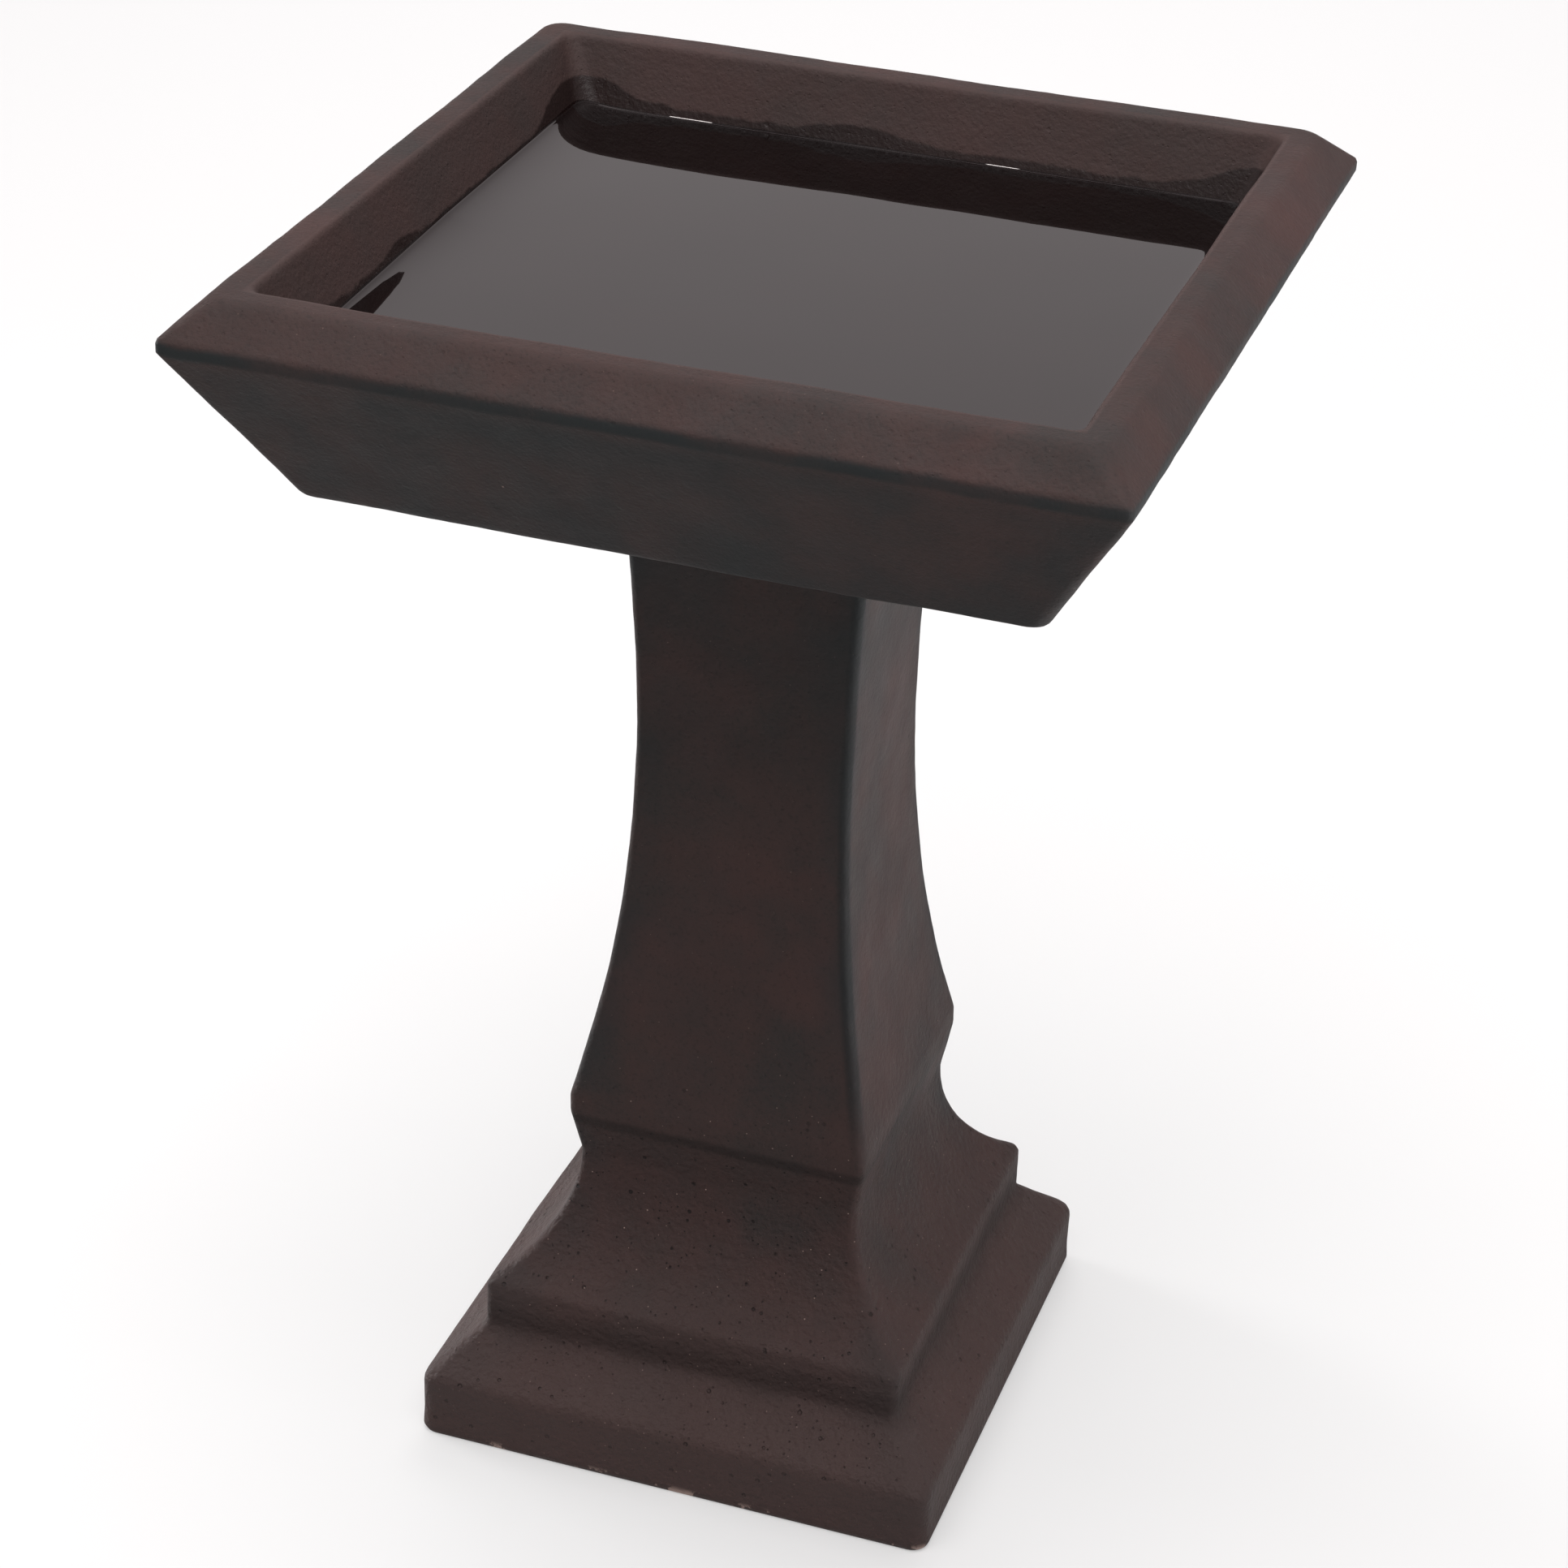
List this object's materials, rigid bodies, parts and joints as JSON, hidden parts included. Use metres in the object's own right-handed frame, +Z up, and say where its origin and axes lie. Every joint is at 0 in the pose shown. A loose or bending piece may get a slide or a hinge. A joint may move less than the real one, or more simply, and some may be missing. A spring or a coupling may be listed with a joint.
{
  "type": "bird bath",
  "caption": "Square garden bird bath: a deep-rimmed square dish resting on a hollow, flared square pedestal with a stepped foot.",
  "frame": {"origin": "on the ground, at the middle of the pedestal's square foot", "axes": "+Z up; the sides of the dish and of the pedestal face +X, -X, +Y and -Y, and the side that is seen as the front faces -Y"},
  "size_m": [0.387, 0.387, 0.5715],
  "materials": {
    "fired_clay": "matte"
  },
  "bodies": {
    "pedestal": {"pedestal": "fired_clay"},
    "basin": {"basin": "fired_clay"}
  },
  "joints": [
    {"name": "basin_lift", "type": "slide", "parent": "pedestal", "child": "basin", "axis": [0, 0, 1], "range_m": [0, 0.12]}
  ]
}
